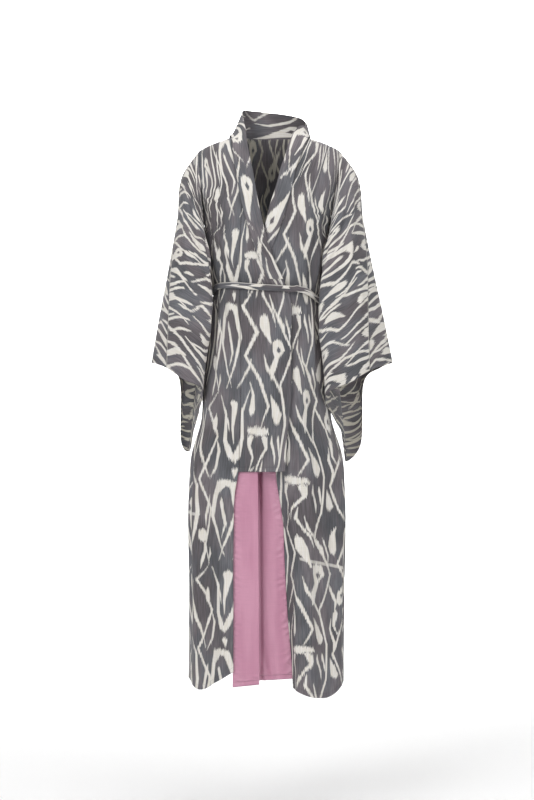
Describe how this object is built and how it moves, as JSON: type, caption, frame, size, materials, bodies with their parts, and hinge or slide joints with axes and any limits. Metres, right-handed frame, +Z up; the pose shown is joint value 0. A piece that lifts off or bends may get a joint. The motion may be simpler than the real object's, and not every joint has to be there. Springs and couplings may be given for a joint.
{
  "type": "kimono robe",
  "caption": "Long worn kimono robe with wide open sleeves, crossed front, collar band, narrow tied belt, patterned cloth and a pink satin inside at the open front edge.",
  "frame": {"origin": "where the wearer's shoulders hold the robe, midway between the shoulder tops at the base of the neck", "axes": "+Z up, +X to the wearer's left, which is right in the front view, +Y to the wearer's back"},
  "size_m": [0.5865, 0.2809, 1.4299],
  "materials": {
    "back": "plain weave, warp-dyed pattern, matt",
    "front_right": "plain weave, warp-dyed pattern, matt",
    "front_left": "plain weave, warp-dyed pattern, matt",
    "overlap_right": "plain weave, warp-dyed pattern, matt",
    "overlap_left": "plain weave, warp-dyed pattern, matt",
    "satin_right": "smooth satin weave, soft sheen",
    "satin_left": "smooth satin weave, soft sheen",
    "collar_band": "plain weave, warp-dyed pattern, matt",
    "sleeve_front_right": "plain weave, warp-dyed pattern, matt",
    "sleeve_back_right": "plain weave, warp-dyed pattern, matt",
    "sleeve_front_left": "plain weave, warp-dyed pattern, matt",
    "sleeve_back_left": "plain weave, warp-dyed pattern, matt",
    "belt": "narrow folded band of the patterned cloth",
    "belt_knot": "narrow folded band of the patterned cloth",
    "belt_end_short": "narrow folded band of the patterned cloth",
    "belt_end_long": "narrow folded band of the patterned cloth"
  },
  "bodies": {
    "root": {"back": "back", "front_right": "front_right", "front_left": "front_left", "overlap_right": "overlap_right", "overlap_left": "overlap_left", "satin_right": "satin_right", "satin_left": "satin_left", "collar_band": "collar_band", "sleeve_front_right": "sleeve_front_right", "sleeve_back_right": "sleeve_back_right", "sleeve_front_left": "sleeve_front_left", "sleeve_back_left": "sleeve_back_left", "belt": "belt", "belt_knot": "belt_knot", "belt_end_short": "belt_end_short", "belt_end_long": "belt_end_long"}
  },
  "joints": []
}
